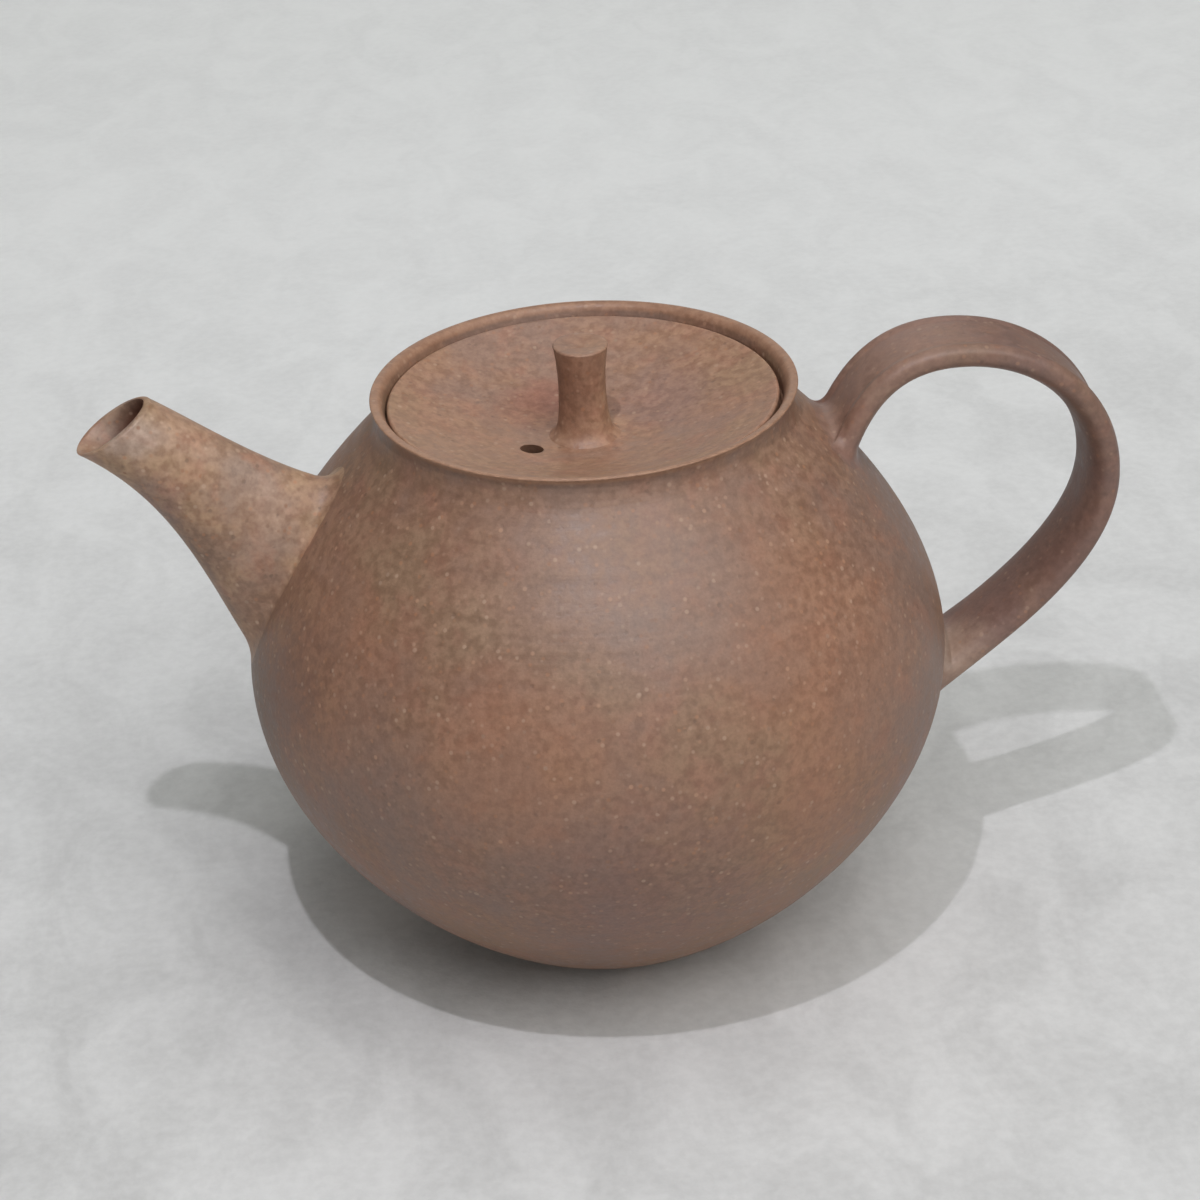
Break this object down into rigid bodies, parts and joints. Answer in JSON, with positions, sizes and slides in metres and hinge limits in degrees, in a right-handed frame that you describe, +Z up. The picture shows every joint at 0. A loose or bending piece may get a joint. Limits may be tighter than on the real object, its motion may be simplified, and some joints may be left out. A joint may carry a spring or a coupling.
{
  "type": "back-handle teapot",
  "caption": "Round unglazed stoneware teapot with a curved spout, a strap handle opposite it, a pierced strainer behind the spout and an inset dished lid with a stem knob.",
  "frame": {"origin": "middle of the flat base that the pot stands on", "axes": "+Z up along the vessel's turning axis, +X towards the handle, so the spout points along -X, and +Y completes the right-handed frame"},
  "size_m": [0.1743, 0.12, 0.1097],
  "materials": {
    "body_stoneware": "unglazed brown stoneware, fine grain, matte",
    "spout_stoneware": "unglazed brown stoneware, smoothed by hand, matte",
    "inner_stoneware": "unglazed brown stoneware, raw inside, matte",
    "handle_stoneware": "unglazed brown stoneware, pulled strap, matte",
    "lid_stoneware": "unglazed stoneware, a lighter brown, matte"
  },
  "bodies": {
    "pot": {"pot_body": "body_stoneware", "spout": "spout_stoneware", "spout_strainer": "inner_stoneware", "strap_handle": "handle_stoneware"},
    "lid": {"lid_plate": "lid_stoneware", "lid_flange": "lid_stoneware", "lid_knob": "lid_stoneware"}
  },
  "joints": [
    {"name": "lid_lift", "type": "slide", "parent": "pot", "child": "lid", "axis": [0, 0, 1], "range_m": [0, 0.05]}
  ]
}
